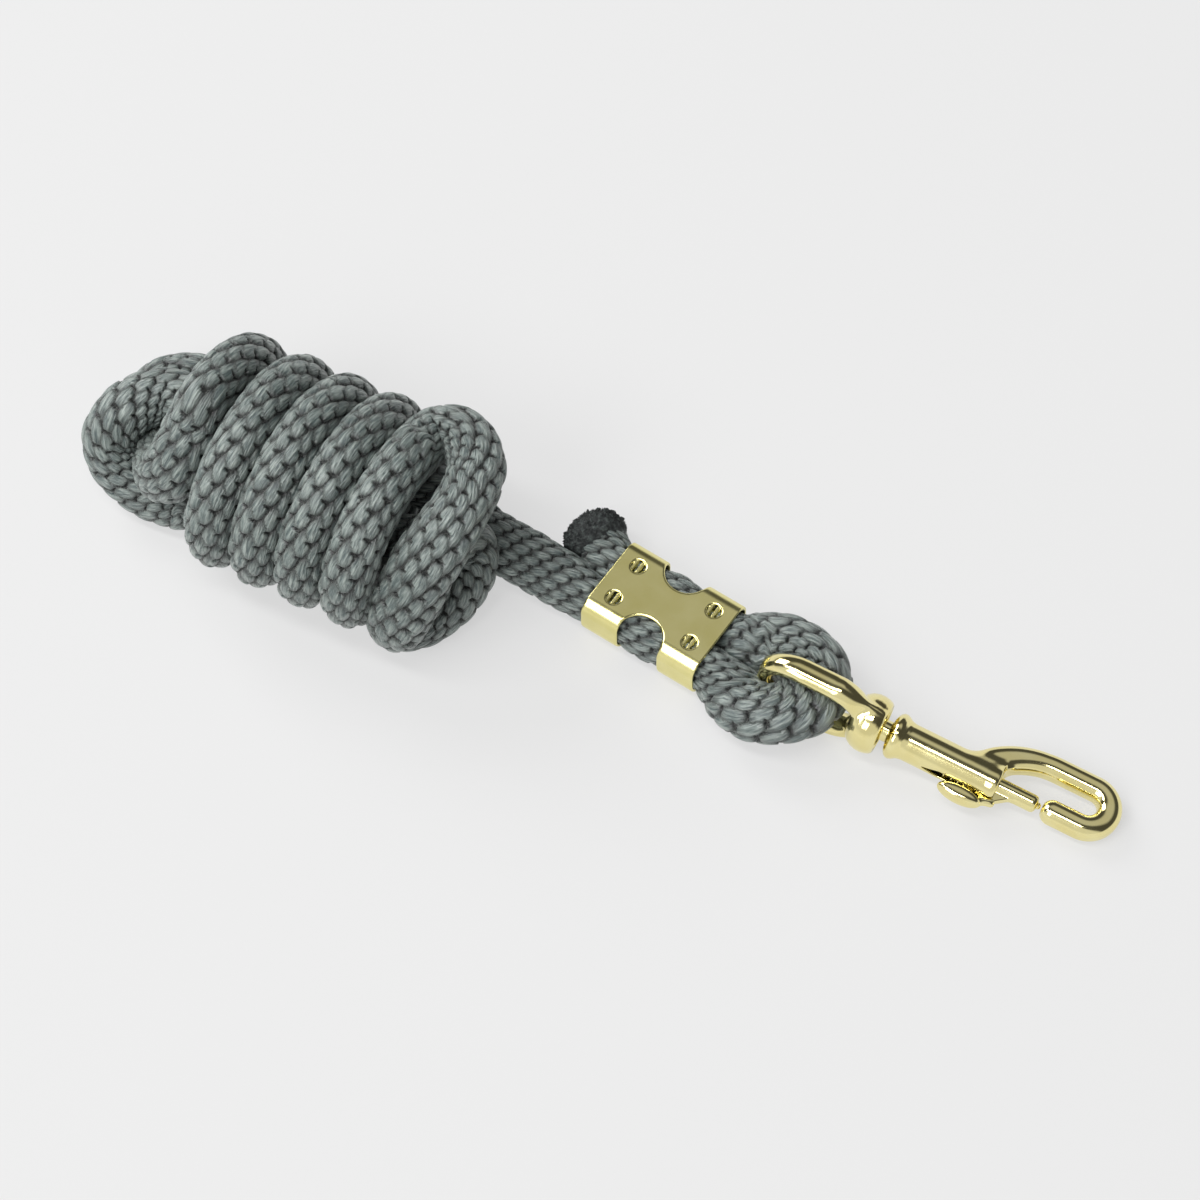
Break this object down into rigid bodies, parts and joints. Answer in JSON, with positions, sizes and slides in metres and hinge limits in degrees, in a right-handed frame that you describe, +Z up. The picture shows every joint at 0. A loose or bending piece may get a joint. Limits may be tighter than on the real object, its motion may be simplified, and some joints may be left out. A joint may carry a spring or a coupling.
{
  "type": "lead rope",
  "caption": "Braided horse lead rope tied in a hank, its end loop clamped round the swivel eye of a brass bolt snap with a sprung thumb bolt.",
  "frame": {"origin": "centre of the part's outline, on the surface it lies on", "axes": "+X from the hank toward the hook, +Z up, +Y toward the back of the hook"},
  "size_m": [0.3051, 0.0709, 0.058],
  "materials": {
    "rope": "braided, slight sheen",
    "melted_rope": "rough",
    "brass_sheet": "polished",
    "cast_brass": "polished",
    "spring_steel": "bright"
  },
  "bodies": {
    "rope": {"rope_hank": "rope", "rope_lead": "rope", "rope_tail_seal": "melted_rope", "rope_clamp": "brass_sheet"},
    "eye": {"swivel_eye": "cast_brass"},
    "snap": {"snap_body": "cast_brass", "bolt_spring": "spring_steel"},
    "bolt": {"bolt": "cast_brass"}
  },
  "joints": [
    {"name": "eye_tip", "type": "hinge", "parent": "rope", "child": "eye", "pos_m": [0.0628, 0.008, 0.0127], "axis": [0, 1, 0], "range_deg": [-30, 0]},
    {"name": "swivel", "type": "hinge", "parent": "eye", "child": "snap", "pos_m": [0.065, 0.008, 0.0125], "axis": [0.9949, 0, -0.1011], "continuous": true},
    {"name": "bolt_slide", "type": "slide", "parent": "snap", "child": "bolt", "axis": [0.9949, 0, -0.1011], "range_m": [-0.012, 0], "stiffness_N_per_m": 800, "springref_m": 0.006, "deforming": ["bolt_spring"]}
  ]
}
